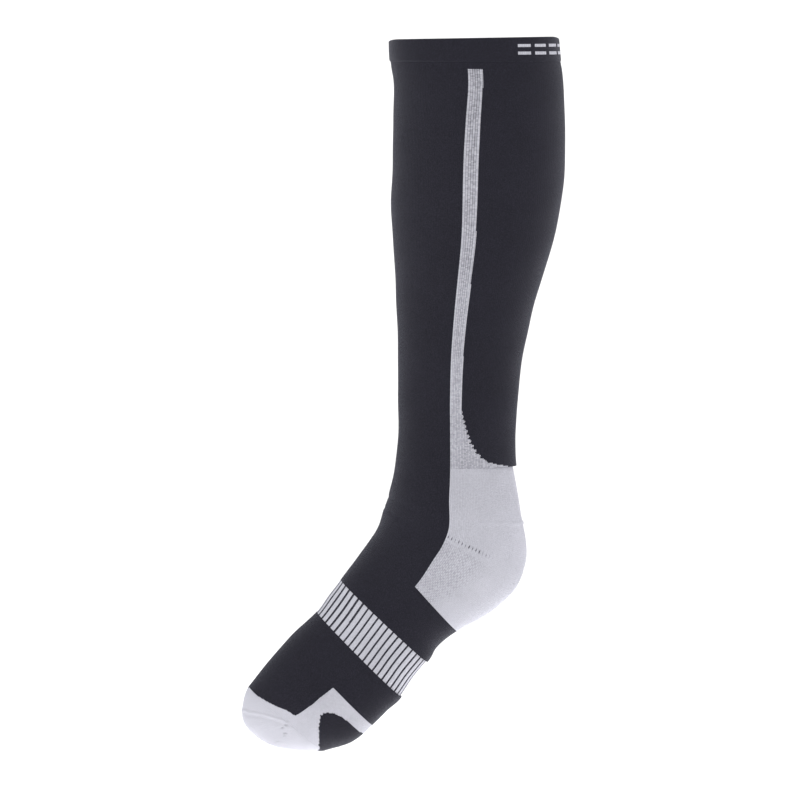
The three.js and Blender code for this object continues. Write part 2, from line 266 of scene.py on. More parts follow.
def course_measures(station):
    """Measures of the courses at these stations: smooth curves through the rows of the table, and past
    the toe's start the first toe course moved to the tip along a quarter turn and shrunk by the cosine of
    the turn, times one less the narrowing times sine times cosine."""
    station = np.asarray(station, float)
    rise = np.diff(TABLE, axis=0) / np.diff(STATIONS)[:, None]
    before, after = np.diff(STATIONS)[:-1, None], np.diff(STATIONS)[1:, None]
    inner = (rise[:-1] * after + rise[1:] * before) / (before + after)
    slopes = np.vstack([rise[:1], inner, rise[-1:]])
    held = np.minimum(station, TOE_START)
    i = np.clip(np.searchsorted(STATIONS, held) - 1, 0, len(STATIONS) - 2)
    span = (STATIONS[i + 1] - STATIONS[i])[..., None]
    t = (held - STATIONS[i])[..., None] / span
    rows = TABLE[i] * (1 + 2 * t) * (1 - t) ** 2 + TABLE[i + 1] * t * t * (3 - 2 * t)
    rows += span * (slopes[i] * t * (1 - t) ** 2 - slopes[i + 1] * t * t * (1 - t))
    made = {name: rows[..., k] for k, name in enumerate(MEASURES)}
    turn = np.clip((station - TOE_START) / TOE_LENGTH, 0, 1) * math.pi / 2
    size = np.cos(turn) * (1 - TOE_NARROWING * np.sin(turn) * np.cos(turn))
    made["y"] = made["y"] + TOE_TIP[0] * np.sin(turn)
    made["down"] = made["down"] + TOE_TIP[1] * np.sin(turn)
    made["depth"] = made["depth"] * size
    made["width"] = made["width"] * size
    return made


def drafted_point(station, angle):
    """Point of the drafted surface in millimetres: a superellipse of the course's depth and width, whose
    back is fuller by the egg share, laid in the plane that the course's tilt gives."""
    station, angle = np.broadcast_arrays(np.asarray(station, float), np.asarray(angle, float))
    m = course_measures(station)
    turn, tilt = np.radians(angle), np.radians(m["tilt"])
    c, s = np.cos(turn), np.sin(turn)
    full = (np.abs(c) ** m["square"] + np.abs(s) ** m["square"]) ** (-1 / m["square"])
    across = full * s * m["width"] * (1 - m["egg"] * c) / 2
    back = -full * c * m["depth"] / 2
    return np.stack([across, m["y"] + back * np.cos(tilt), -m["down"] - back * np.sin(tilt)], -1)


def outward(station, angle, step=0.02):
    """Unit normal of the drafted surface: the cross product of its slopes down the tube and round it."""
    low = np.clip(station - step, 0, TOE_END - 3 * step)
    high = low + 2 * step
    down = drafted_point(high, angle) - drafted_point(low, angle)
    here = np.minimum(station, TOE_END - step)
    turned = drafted_point(here, angle + step) - drafted_point(here, angle - step)
    normal = np.cross(down, turned)
    return normal / np.linalg.norm(normal, axis=-1, keepdims=True)


def wale_angles(stations, wales):
    """Degrees from the shin of each wale at each station. In either half of a course the wales share the
    arc length evenly, from the edge line round the back to the inner edge line, and on round the front."""
    share = np.linspace(0, 1, ARC_STEPS + 1)
    angles = np.empty((len(stations), len(wales)))
    for row, (station, edge) in enumerate(zip(stations, course_measures(stations)["edge"])):
        counted, turned = [], []
        for first, start, end in ((0, edge, 360 - edge), (HALF, 360 - edge, 360 + edge)):
            fine = start + (end - start) * share
            steps = np.linalg.norm(np.diff(drafted_point(station, fine), axis=0), axis=1)
            length = np.concatenate([[0], steps.cumsum()])
            counted.append(first + HALF * length / length[-1])
            turned.append(fine)
        angles[row] = np.interp(wales, np.concatenate(counted), np.concatenate(turned))
    return angles


def folded(angle):
    """Degrees from the shin on either side of the stocking, from 0 at the shin to 180 at the calf."""
    return 180 - np.abs(np.mod(angle, 360) - 180)


def bump(distance, width):
    """Height of a soft ridge, 1 on its line and nothing beyond its width: a raised cosine."""
    return np.where(np.abs(distance) < width, 0.5 + 0.5 * np.cos(math.pi * distance / width), 0)


def ease(value, start, end):
    """Rises smoothly from 0 at start to 1 at end."""
    t = np.clip((value - start) / (end - start), 0, 1)
    return t * t * (3 - 2 * t)


def soft_waves(station, angle):
    """Slow unevenness of the filled cloth, in millimetres: a few crossing sine waves."""
    turn = np.radians(angle)
    return (
        0.22 * np.sin(station / 17 + 2 * turn)
        + 0.16 * np.sin(station / 9.5 - 3 * turn + 1.3)
        + 0.1 * np.sin(station / 5.7 + 5 * turn + 0.4)
    )


def wale_relief(wale):
    """Cross section of plain wales: rounded crests with a narrow groove on each wale line."""
    return np.abs(np.sin(math.pi * wale)) ** 0.6 - 0.6


def leg_relief(station, wale, angle):
    """Fine lengthwise wales, a shallow crease under the welt, a slight flare at the back where the leg's
    knit ends over the heel, and soft waves."""
    relief = bpy.context.scene.stocking_sizes.wale_relief / MM
    crease, crease_length = WELT_CREASE
    flare, flare_length = LEG_END_FLARE
    creased = -crease * bump(station - STATION["welt_end"], crease_length)
    flared = flare * bump(station - STATION["heel_top"], flare_length) * ease(folded(angle), 110, 165)
    return relief * wale_relief(wale) + creased + flared + soft_waves(station, angle)


def gore_holes(station, wale, side):
    """1 in the small slanting holes along the gore line, fading towards its back end."""
    along = ease(side, *GORE_START) * (1 - ease(side, GORE_END - 16, GORE_END + 4))
    place = np.mod(wale, HOLE_WALES) - HOLE_WALES / 2
    uneven = 0.75 + 0.25 * np.sin(2.3 * np.floor(wale / HOLE_WALES))
    hole = bump(station + HOLE_SLANT * place - GORE_STATION, HOLE_LENGTH) * bump(place, HOLE_WIDTH)
    return along * uneven * hole


def heel_relief(station, wale, angle):
    """The pocket starts a ledge's depth inside the leg at the back, its upper part is finely ribbed, a
    raised line of linked stitches crosses the back, a row of small holes marks the gore, and the knit
    below it is open."""
    sizes = bpy.context.scene.stocking_sizes
    side = folded(angle)
    left = np.clip(1 - (station - STATION["heel_top"]) / SPLICE_LENGTH, 0, 1)
    ledge = -sizes.ledge_depth / MM * left**2 * np.sin(math.pi * wale / HALF)
    ribbed = 1 - ease(station, *RIBS_END)
    ribs = sizes.wale_relief / MM * wale_relief(wale) * (0.5 + 1.1 * ribbed)
    height, width = HEEL_SEAM_RIDGE
    line = np.interp(side, *HEEL_SEAM.T)
    seam = height * bump(station - line, width) * ease(side, *HEEL_SEAM_START)
    height, width = GORE_RIDGE
    on_gore = ease(side, *GORE_START) * (1 - ease(side, GORE_END - 6, GORE_END + 4))
    gore = height * bump(station - GORE_STATION, width) * on_gore
    holes = -HOLE_DEPTH * gore_holes(station, wale, side)
    below = ease(station, GORE_STATION + 1, GORE_STATION + 4) * (1 - ease(side, 112, 128))
    openings = np.maximum(0, np.sin(math.pi * wale) * np.sin(math.pi * station / OPEN_KNIT_MM)) ** 2
    open_knit = -OPEN_KNIT_DEPTH * below * openings
    return ledge + ribs + seam + (gore + holes) + open_knit + 0.6 * soft_waves(station, angle)


def instep_relief(station, wale, angle):
    """Plain wales with two faint bends across the front of the ankle."""
    relief = bpy.context.scene.stocking_sizes.wale_relief / MM
    front = 1 - ease(folded(angle), 30, 75)
    bends = -INSTEP_BEND * front * sum(bump(station - middle, length) for middle, length in INSTEP_BENDS)
    return 0.8 * relief * wale_relief(wale) + bends + soft_waves(station, angle)


def foot_relief(station, wale, angle):
    """Plain wales that swell beside the arch band, most of all under the foot, and soft waves."""
    relief = bpy.context.scene.stocking_sizes.wale_relief / MM
    all_round, under_foot, length = BAND_SWELL
    before = bump(station - STATION["band_top"] + 2, length)
    behind = bump(station - STATION["band_end"] - 2, length)
    swell = (before + behind) * (all_round + under_foot * ease(folded(angle), 115, 165))
    return 0.8 * relief * wale_relief(wale) + swell + 0.7 * soft_waves(station, angle)


def band_relief(station, wale, angle):
    """Ribs of the arch band: a flat rounded crest over four wales and a groove on the fifth. The band is a
    little fuller over the top of the foot."""
    height = bpy.context.scene.stocking_sizes.rib_height / MM
    phase = np.mod(wale, RIB_WALES) / RIB_WALES
    crest = np.sin(math.pi * np.clip(phase / 0.8, 0, 1)) ** 0.4
    inside = ease(station, STATION["band_top"] - 0.3, STATION["band_top"] + 1.2)
    inside = inside * (1 - ease(station, STATION["band_end"] - 1.2, STATION["band_end"] + 0.3))
    fine = 0.05 * wale_relief(wale)
    fuller, length = BAND_FULLER
    full = fuller * bump(station - STATION["band_middle"], length) * (1 - ease(folded(angle), 15, 60))
    return (height * crest - 0.3 + fine) * inside + full + 0.7 * soft_waves(station, angle)


def toe_dents(station, side):
    """Depth of the small dents beside the end of the toe seam, in millimetres."""
    return sum(
        depth * bump(np.hypot(station - middle, (side - turn) * TOE_DEGREE), size)
        for middle, turn, size, depth in TOE_DENTS
    )


def toe_relief(station, wale, angle):
    """Smooth cushioned cap with a raised seam over the toes, a shallow groove beside it, and small dents
    where it ends at the side."""
    side = folded(angle)
    line = station - np.interp(side, *TOE_SEAM.T)
    on_seam = 1 - ease(side, *TOE_SEAM_END)
    stitches = 0.12 * np.sin(math.pi * wale) ** 2
    seam = ((0.28 + stitches) * bump(line, 1.2) - 0.16 * bump(line - 2.1, 1.5)) * on_seam
    return 0.03 * wale_relief(wale) + seam - toe_dents(station, side) + 0.5 * soft_waves(station, angle)


def course_middle(station):
    """Middle of the course of knitting that holds a point, so that a colour's edge steps with it."""
    return (np.floor(station / COURSE_MM) + 0.5) * COURSE_MM


def leg_yarn(station, wale, angle):
    """Share of pale yarn on the leg: the side stripe, whose outer wales are the palest, and the flare, on
    either side of the leg, and none elsewhere."""
    column = np.where(wale < HALF / 2, wale, HALF - wale)
    start = STRIPE_START - STRIPE_TOOTH * (np.mod(np.floor(column), 2) < 1)
    width = np.round(COLUMNS_A_WALE * np.interp(station, *STRIPE_WALES.T)) / COLUMNS_A_WALE
    stripe = (column > 0) & (column < width) & (wale < HALF) & (station > start)
    outer_wale = (column < 1) | (column > width - 1)
    pale = np.interp(station, *STRIPE_PALE.T) + OUTER_WALES_PALER * outer_wale * (station < OUTER_WALES_END)
    scallop = np.abs(np.sin(math.pi * station / SCALLOP_MM)) - SCALLOP_MIDDLE
    back_edge = np.interp(station, *FLARE.T) + scallop * np.interp(station, *SCALLOP_DEPTH.T)
    flare = (wale < HALF) & (station > FLARE_START) & (folded(angle) < back_edge)
    return np.where(stripe, pale, np.where(flare, FLARE_PALE, 0))


def cuff_yarn(station, wale, angle):
    """Black, with two rows of plain dashes at the back of the outer side."""
    outer_side, station = np.mod(angle, 360) < 180, course_middle(station)
    rows = np.any([(station > start) & (station < end) for start, end in DASH_ROWS], axis=0)
    first, last = DASH_WALES
    dashes = (wale > first) & (wale < last) & (np.mod(np.floor(wale) - first, DASH_PITCH) < DASH_LENGTH)
    return np.where(outer_side & rows & dashes, DASH_PALE, 0)


def heel_yarn(station, wale, angle):
    """Pale all over. Painted shade makes it a little darker near the front edge, and painted light a little
    paler under the sole. The holes along the gore line and the rows of finer ones in the open knit below
    it are painted dark as the shade in them, the raised line where the splice is linked to the heel has a
    painted highlight, and the top row, in the step under the leg's ledge, a painted shadow."""
    side = folded(angle)
    # front is painted shade near the heel's front edge, and the sole below gets painted light.
    front = (1 - ease(side, 88, 118)) * ease(station, 302, 345)
    painted_sole_light = ease(station, 345, 375) * ease(side, 110, 150)
    # line is a painted highlight along the raised seam where the splice is linked to the heel.
    line = bump(station - np.interp(side, *HEEL_SEAM.T), 1.0) * ease(side, *HEEL_SEAM_START)
    below = ease(station, GORE_STATION + 2, GORE_STATION + 6) * (1 - ease(side, 108, 126))
    # The openings of the open knit below the gore line are painted darker as the shade in them.
    open_knit = below * (np.mod(np.floor(wale) + np.floor(station / OPEN_KNIT_ROW), 2) < 1)
    fine_ribs = (1 - ease(station, RIBS_END[0] - 2, RIBS_END[1])) * (np.mod(wale, 2) < 1)
    # Painted shadow on the top row of the heel, in the step under the leg's ledge.
    painted_ledge_shadow = bump(station - STATION["heel_top"], 1.1)
    pale = 0.972 - 0.04 * front + 0.03 * painted_sole_light + 0.12 * line - 0.02 * fine_ribs
    # The gore holes are painted dark as the shade inside them.
    return pale - 0.6 * gore_holes(station, wale, side) - 0.12 * open_knit - 0.12 * painted_ledge_shadow


def band_yarn(station, wale, angle):
    """Four pale wales and a black one, over and over. The black one covers a third of the wale behind it,
    and at the top of the foot of the one before it too."""
    third = 0.34
    phase = np.mod(wale, RIB_WALES)
    before = RIB_WALES - 1 - third * (folded(angle) < 62)
    return np.where((phase > before) | (phase < third), 0.05, 0.95)


def toe_yarn(station, wale, angle):
    """Pale past the toe's edge line, except for the black patch under the toes. The pale is a little darker,
    as marl, before stations 505 to 530, and painted shade darkens the small dents beside the end of the
    toe seam.
    """
    side = folded(angle)
    pale = station > np.interp(side, *TOE_EDGE.T)
    to_and_fro = np.mod(station, 2 * PATCH_STITCH) < PATCH_STITCH
    behind_edge = side + to_and_fro > np.interp(station, *PATCH.T)
    patch = (station > PATCH[0, 0]) & (station < PATCH[-1, 0]) & behind_edge
    # A little marl in the first part of the toe, and painted shade in the small dents.
    marl_and_dent_shade = 0.07 * (1 - ease(station, 505, 530)) + 0.35 * np.maximum(0, toe_dents(station, side))
    return np.where(pale & ~patch, 1 - marl_and_dent_shade, 0)


def no_yarn(station, wale, angle):
    """Black all over."""
    return np.zeros(np.broadcast(station, wale, angle).shape)


def no_dip(station, angle):
    """The rows stay on their courses."""
    return 0 * station


def rim_dip(station, angle):
    """How far the rim hangs down, in millimetres: some at shin and calf, less than nothing at the sides,
    and less and less further down the welt."""
    all_round, at_ends, dip_length = RIM_DIP
    rise, rise_length = RIM_RISE
    dip = all_round + at_ends * ease(np.abs(folded(angle) - 90), 62, 88)
    return dip * (1 - ease(station, 0, dip_length)) - rise * (1 - ease(station, 0, rise_length))


def grid_corners(row_count, column_count, joined):
    """Quads of a grid as corner rows and corner columns, wound so that the outer side faces out. joined
    runs one column further, back to the first."""
    i, j = np.meshgrid(np.arange(row_count - 1), np.arange(column_count - (not joined)), indexing="ij")
    rows = np.stack([i, i + 1, i + 1, i], -1).reshape(-1, 4)
    columns = np.stack([j, j, j + 1, j + 1], -1).reshape(-1, 4)
    return rows, columns


def edge_strips(inner_count, count, first_inner, skip):
    """Strips along both edges of a panel, with one face to each row of its inner side. Gives the column
    of each edge, the corners of its faces and the row of the outer side that each corner lies on."""
    i = np.arange(inner_count - 1)[:, None]
    outer_rows, inner_rows = i * skip + np.arange(skip + 1), i + np.array([1, 0])
    for column, order in ((0, slice(None, None, -1)), (count - 1, slice(None))):
        corners = np.concatenate([outer_rows * count, first_inner + inner_rows * count], 1) + column
        rows = np.concatenate([outer_rows, inner_rows * skip], 1)
        yield column, corners[:, order], rows[:, order]


def pale_shares(yarn, stations, wales, angles, face_stations, face_wales):
    """Share of pale yarn in the middle of each face. Its angle is taken from the nearest row, between the
    columns on either side of it."""
    row = np.round(np.interp(face_stations, stations, np.arange(len(stations)))).astype(int)
    place = (face_wales - wales[0]) / (wales[1] - wales[0])
    low = np.clip(place.astype(int), 0, len(wales) - 2)
    face_angles = angles[row, low] + (place - low) * (angles[row, low + 1] - angles[row, low])
    return yarn(face_stations, face_wales, face_angles)


def knitted_shell(
    name, stations, wales, relief, yarn, wall, *, dip=no_dip, joined=True, closed_end=False, skip=INNER_SKIP
):
    """A closed wall of cloth. Its outer side is the drafted surface moved out along its normal by the
    relief, its inner side lies the wall's thickness further in on every skip-th row, and strips join the
    two at both ends and, on a panel, along both edges. Stitch numbers go into the UV map and the share
    of pale yarn into a face attribute. wall is one number, or one a row where a rim is turned in, and dip
    moves the points along the tube."""
    count = len(wales)
    angles = wale_angles(stations, wales)
    where, wale = np.broadcast_arrays(stations[:, None], wales[None, :])
    where = where + dip(where, angles)
    surface, normal = drafted_point(where, angles), outward(where, angles)
    lift = relief(where, wale, angles)
    deep = np.broadcast_to(wall, len(stations))[:, None]
    outer = surface + normal * lift[..., None]
    inner = (surface + normal * (lift - deep)[..., None])[::skip]
    points = np.concatenate([outer.reshape(-1, 3), inner.reshape(-1, 3)]) * MM
    step = wales[1] - wales[0]

    rows, columns = grid_corners(len(stations), count, joined)
    outer_faces = rows * count + columns % count
    inner_rows, inner_columns = grid_corners(len(inner), count, joined)
    inner_faces = (len(outer) + inner_rows) * count + inner_columns % count
    faces = outer_faces.tolist() + inner_faces[:, ::-1].tolist()
    uv_rows = [stations[rows], stations[::skip][inner_rows[:, ::-1]]]
    uv_columns = [wales[0] + columns * step, wales[0] + inner_columns[:, ::-1] * step]

    # Strips between the two sides, at the start of the tube and at an open end.
    j = np.arange(count - (not joined))
    following = (j + 1) % count
    first_inner = len(outer) * count
    last_outer, last_inner = (len(outer) - 1) * count, first_inner + (len(inner) - 1) * count
    start = [j, following, first_inner + following, first_inner + j]
    end = [last_outer + j, last_inner + j, last_inner + following, last_outer + following]
    strips = [(start, [j, j + 1, j + 1, j], stations[0])]
    if not closed_end:
        strips.append((end, [j, j, j + 1, j + 1], stations[-1]))
    for corners, strip_columns, station in strips:
        faces += np.stack(corners, -1).tolist()
        uv_columns.append(wales[0] + np.stack(strip_columns, -1) * step)
        uv_rows.append(np.full((len(j), 4), station))
    extra_uv = []
    if closed_end:
        faces += [(last_outer + j[::-1]).tolist(), (last_inner + j).tolist()]
        extra_uv = [(w, stations[-1] / COURSE_MM) for w in wales] * 2
    if not joined:
        for column, corners, levels in edge_strips(len(inner), count, first_inner, skip):
            faces += corners.tolist()
            extra_uv += [(wales[column], s / COURSE_MM) for s in stations[levels].ravel()]

    mesh = bpy.data.meshes.new(f"{name}_knit")
    mesh.from_pydata(points, [], faces)
    grid_u = np.concatenate([c.ravel() for c in uv_columns])
    grid_v = np.concatenate([r.ravel() for r in uv_rows]) / COURSE_MM
    uv = np.concatenate([np.stack([grid_u, grid_v], -1), np.array(extra_uv).reshape(-1, 2)])
    mesh.uv_layers.new(name="stitches").data.foreach_set("uv", uv.ravel())

    # The faces of the grids and strips come first. Those that close an end or an edge take the last share.
    face_wales = grid_u.reshape(-1, 4).mean(1)
    face_stations = (grid_v * COURSE_MM).reshape(-1, 4).mean(1)
    share = np.zeros(len(mesh.polygons))
    share[: len(face_wales)] = pale_shares(yarn, stations, wales, angles, face_stations, face_wales)
    share[len(face_wales) :] = share[len(face_wales) - 1]
    mesh.attributes.new("yarn", "FLOAT", "FACE").data.foreach_set("value", share.astype(np.float32))
    mesh.shade_smooth()
    mesh.set_sharp_from_angle(angle=SHARP_ANGLE)
    mesh.validate()
    piece = bpy.data.objects.new(mesh.name, mesh)
    bpy.context.scene.collection.objects.link(piece)
    return piece


def sheet_sizes(first, last, share=1.0):
    """Flat size of a piece in metres: the mean way round the courses, times the share that the piece
    takes, by the mean length of lines along it."""
    stations = np.linspace(first, last, 24)
    ring = drafted_point(stations[:, None], np.linspace(0, 360, 181)[None, :])
    around = np.linalg.norm(np.diff(ring, axis=1), axis=-1).sum(1)
    lines = drafted_point(stations[:, None], np.arange(0, 360, 30)[None, :])
    long = np.linalg.norm(np.diff(lines, axis=0), axis=-1).sum(0)
    return around.mean() * share * MM, long.mean() * MM


def round_wales():
    """All wales, in mesh columns."""
    return np.arange(WALES * COLUMNS_A_WALE) / COLUMNS_A_WALE


def half_wales(first):
    """The wales of one half of the tube from the first on, in mesh columns, with both edges."""
    return first + np.arange(HALF * COLUMNS_A_WALE + 1) / COLUMNS_A_WALE


def rows_between(first, last, pitch):
    """Evenly spaced stations, a whole number of inner rows apart."""
    count = max(1, round((last - first) / pitch / INNER_SKIP)) * INNER_SKIP
    return np.linspace(first, last, count + 1)


def rows_with_finer_end(first, last, pitch, finer_start, finer_pitch):
    """Evenly spaced stations that lie closer together once the tube passes finer_start."""
    plain_end = min(last, finer_start)
    rows = rows_between(first, plain_end, pitch)
    if last > plain_end:
        rows = np.concatenate([rows, rows_between(plain_end, last, finer_pitch)[1:]])
    return rows


def finished(piece, material, nodes, flat):
    """Material and place in the stocking, for each piece alike, with the model's parts that it stands for
    hidden. flat is not used.
    """
    piece.data.materials.append(material)
    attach(piece, "root")
    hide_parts(*nodes)


class NodeSheet:
    """Short words for laying out the nodes of one material."""

    def __init__(self, name):
        self.material = bpy.data.materials.new(name)
        self.material.use_nodes = True
        self.tree = self.material.node_tree
        self.shader = self.tree.nodes["Principled BSDF"]

    def node(self, kind, *inputs, **settings):
        made = self.tree.nodes.new(kind)
        for key, value in settings.items():
            setattr(made, key, value)
        for k, value in enumerate(inputs):
            self.put(made.inputs[k], value)
        return made

    def put(self, socket, value):
        if isinstance(value, bpy.types.NodeSocket):
            self.tree.links.new(value, socket)
        else:
            socket.default_value = value

    def math(self, operation, *inputs, clamp=False):
        return self.node("ShaderNodeMath", *inputs, operation=operation, use_clamp=clamp).outputs[0]

    def spread(self, value, low, high, to_low=0.0, to_high=1.0):
        limits = (low, high, to_low, to_high)
        return self.node("ShaderNodeMapRange", value, *limits, interpolation_type="SMOOTHSTEP").outputs[0]

    def noise(self, place, scale, detail):
        made = self.node("ShaderNodeTexNoise", place, noise_dimensions="3D")
        self.put(made.inputs["Scale"], scale)
        self.put(made.inputs["Detail"], detail)
        return made.outputs[0]

    def blend(self, share, first, second):
        made = self.node("ShaderNodeMix", data_type="RGBA")
        self.put(made.inputs["Factor"], share)
        self.put(made.inputs["A"], first)
        self.put(made.inputs["B"], second)
        return made.outputs["Result"]


def knit_material(name, sheen, roughness, relief):
    """Jersey knitted from a black and a pale yarn. Each stitch is a pair of slanting legs, drawn from the
    stitch numbers of the UV map. The share of pale yarn mixes the two colours. Where both are knitted
    together it varies from stitch to stitch by a random number, and the black shows between the wales.
    Both yarns have a fine fleck, and the gaps between stitches are painted darker as shade."""
    colours = bpy.context.scene.stocking_colours
    sheet = NodeSheet(name)
    uv = sheet.node("ShaderNodeUVMap", uv_map="stitches").outputs[0]
    parts = sheet.node("ShaderNodeSeparateXYZ", uv).outputs
    wale, course = parts[0], parts[1]
    from_middle = sheet.math("ABSOLUTE", sheet.math("SUBTRACT", sheet.math("FRACT", wale), 0.5))
    slanted = sheet.math("ADD", course, sheet.math("MULTIPLY", from_middle, STITCH_SLANT))
    leg_along = sheet.math("SINE", sheet.math("MULTIPLY", sheet.math("FRACT", slanted), math.pi))
    leg_across = sheet.math("SINE", sheet.math("MULTIPLY", from_middle, 2 * math.pi))
    leg = sheet.math("MULTIPLY", sheet.math("POWER", leg_across, 0.5), sheet.math("POWER", leg_along, 0.6))

    stitch = sheet.node("ShaderNodeCombineXYZ", sheet.math("FLOOR", wale), sheet.math("FLOOR", course))
    drawn = sheet.node("ShaderNodeTexWhiteNoise", stitch.outputs[0], noise_dimensions="2D").outputs[0]
    share = sheet.node("ShaderNodeAttribute", attribute_name="yarn", attribute_type="GEOMETRY").outputs["Fac"]
    mixed = sheet.math("MULTIPLY", share, sheet.math("SUBTRACT", 1.0, share))
    between = sheet.spread(from_middle, 0.28, 0.48)
    varied = sheet.math("SUBTRACT", sheet.math("SUBTRACT", drawn, 0.4), sheet.math("MULTIPLY", between, 1.3))
    change = sheet.math("MULTIPLY", mixed, sheet.math("MULTIPLY", varied, MARL_CONTRAST))
    is_pale = sheet.math("ADD", share, change, clamp=True)

    place = sheet.node("ShaderNodeTexCoord").outputs["Object"]
    fleck = sheet.noise(place, FLECK_SCALE, 2)
    cloud = sheet.noise(place, CLOUD_SCALE, 3)
    black = sheet.blend(sheet.spread(fleck, 0.3, 0.8), tuple(colours.black), tuple(colours.black_fleck))
    pale = sheet.blend(sheet.spread(fleck, 0.25, 0.75), tuple(colours.pale_shade), tuple(colours.pale))
    yarn = sheet.blend(is_pale, black, pale)
    # Painted shade: in the gaps between the stitch legs the colour falls to 0.8 of the yarn's.
    painted_gap_shade = sheet.spread(leg, 0.0, 0.75, 0.8, 1.0)
    # The cloud is random tone of the yarn. Times the painted shade of the gaps, it scales the colour.
    cloud_and_gap_shade = sheet.math("MULTIPLY", painted_gap_shade, sheet.spread(cloud, 0.3, 0.7, 0.94, 1.04))
    shaded = sheet.node("ShaderNodeVectorMath", yarn, operation="SCALE")
    sheet.put(shaded.inputs["Scale"], cloud_and_gap_shade)

    normal = sheet.node("ShaderNodeBump")
    sheet.put(normal.inputs["Strength"], relief)
    sheet.put(normal.inputs["Distance"], STITCH_DEPTH)
    sheet.put(normal.inputs["Height"], sheet.math("ADD", leg, sheet.math("MULTIPLY", fleck, FLECK_HEIGHT)))
    looks = {
        "Base Color": shaded.outputs[0],
        "Normal": normal.outputs[0],
        "Roughness": roughness,
        "Specular IOR Level": SPECULAR,
        "Sheen Weight": sheen,
        "Sheen Roughness": SHEEN_ROUGHNESS,
        "Sheen Tint": SHEEN_TINT,
    }
    for socket, value in looks.items():
        sheet.put(sheet.shader.inputs[socket], value)
    return sheet.material


# Sheen, roughness and strength of the stitches of each kind of knit: plain for leg and foot, cushioned
# for heel and toe, ribbed for the arch band.
KNITS = {
    "plain_knit": (0.16, 0.85, 0.5),
    "cushioned_knit": (0.15, 0.9, 0.7),
    "ribbed_knit": (0.15, 0.85, 0.6),
}


def material_of(kind):
    """The knit of one kind, made once."""
    return bpy.data.materials.get(kind) or knit_material(kind, *KNITS[kind])


class StockingSizes(bpy.types.PropertyGroup):
    """Sizes of the relief of the knit."""

    wale_relief: bpy.props.FloatProperty(
        name="Wale relief", description="Height of the fine lengthwise wales",
        default=0.00014, subtype="DISTANCE", unit="LENGTH",
    )
    rib_height: bpy.props.FloatProperty(
        name="Rib height", description="Height of the arch band's ribs over their grooves",
        default=0.0004, subtype="DISTANCE", unit="LENGTH",
    )
    welt_proud: bpy.props.FloatProperty(
        name="Welt step", description="How far the welt stands proud of the leg",
        default=0.0005, subtype="DISTANCE", unit="LENGTH",
    )
    ledge_depth: bpy.props.FloatProperty(
        name="Heel ledge", description="Depth of the ledge where the leg's knit ends over the heel",
        default=0.0016, subtype="DISTANCE", unit="LENGTH",
    )


class StockingColours(bpy.types.PropertyGroup):
    """Colours of the yarns."""

    black: bpy.props.FloatVectorProperty(
        name="Black", description="Black yarn",
        default=(0.0085, 0.0082, 0.013, 1), size=4, subtype="COLOR",
    )
    black_fleck: bpy.props.FloatVectorProperty(
        name="Black fleck", description="Lighter filaments of the black yarn",
        default=(0.018, 0.0172, 0.027, 1), size=4, subtype="COLOR",
    )
    pale: bpy.props.FloatVectorProperty(
        name="Pale grey", description="Pale yarn",
        default=(0.508, 0.506, 0.56, 1), size=4, subtype="COLOR",
    )
    pale_shade: bpy.props.FloatVectorProperty(
        name="Pale shade", description="Darker filaments of the pale yarn",
        default=(0.438, 0.437, 0.487, 1), size=4, subtype="COLOR",
    )


class StudioSettings(bpy.types.PropertyGroup):
    """Sizes and light of the studio."""

    floor_drop: bpy.props.FloatProperty(
        name="Floor drop", description="How far the floor lies below the toes",
        default=0.2, subtype="DISTANCE", unit="LENGTH",
    )
    camera_distance: bpy.props.FloatProperty(
        name="Camera distance", description="From the camera to the middle of the view",
        default=4.5, subtype="DISTANCE", unit="LENGTH",
    )
    view_width: bpy.props.FloatProperty(
        name="View width", description="Width of the view at the stocking",
        default=0.56, subtype="DISTANCE", unit="LENGTH",
    )
    elevation: bpy.props.FloatProperty(
        name="Elevation", description="Height of the camera above the horizon",
        default=math.radians(3.2), subtype="ANGLE", unit="ROTATION",
    )
    surround: bpy.props.FloatProperty(
        name="Surround", description="Strength of the light from all round",
        default=0.85,
    )


class STOCKING_OT_cuff(bpy.types.Operator):
    """Turned double welt with a rounded fold at the rim"""

    bl_idname = "stocking.cuff"
    bl_label = "Cuff"

    def execute(self, context):
        proud = context.scene.stocking_sizes.welt_proud / MM
        end, radius = STATION["welt_end"], WELT_WALL / 2
        turn = np.radians(np.linspace(90, 0, FOLD_ROWS))
        plain = np.arange(2, end / COURSE_MM) * COURSE_MM
        rows = np.concatenate([radius * (1 - np.sin(turn)), plain, [end]])
        drawn_in = np.zeros(len(rows))
        drawn_in[:FOLD_ROWS] = radius * (1 - np.cos(turn))
        drawn_in[-1] = WELT_TUCK

        def relief(station, wale, angle):
            from_side = ease(np.abs(folded(angle) - 90), 20, 75)
            stands = proud * (WELT_AT_SIDES + (1 - WELT_AT_SIDES) * from_side)
            waves = 0.4 * soft_waves(station * 0.4, angle)
            return 0.05 * wale_relief(wale) + waves + stands - drawn_in[:, None]

        wall = np.maximum(WELT_WALL - 2 * drawn_in, THINNEST_WALL)
        piece = knitted_shell("cuff", rows, round_wales(), relief, cuff_yarn, wall, dip=rim_dip, skip=1)
        finished(piece, material_of("plain_knit"), ["cuff"], sheet_sizes(0, end))
        return {"FINISHED"}


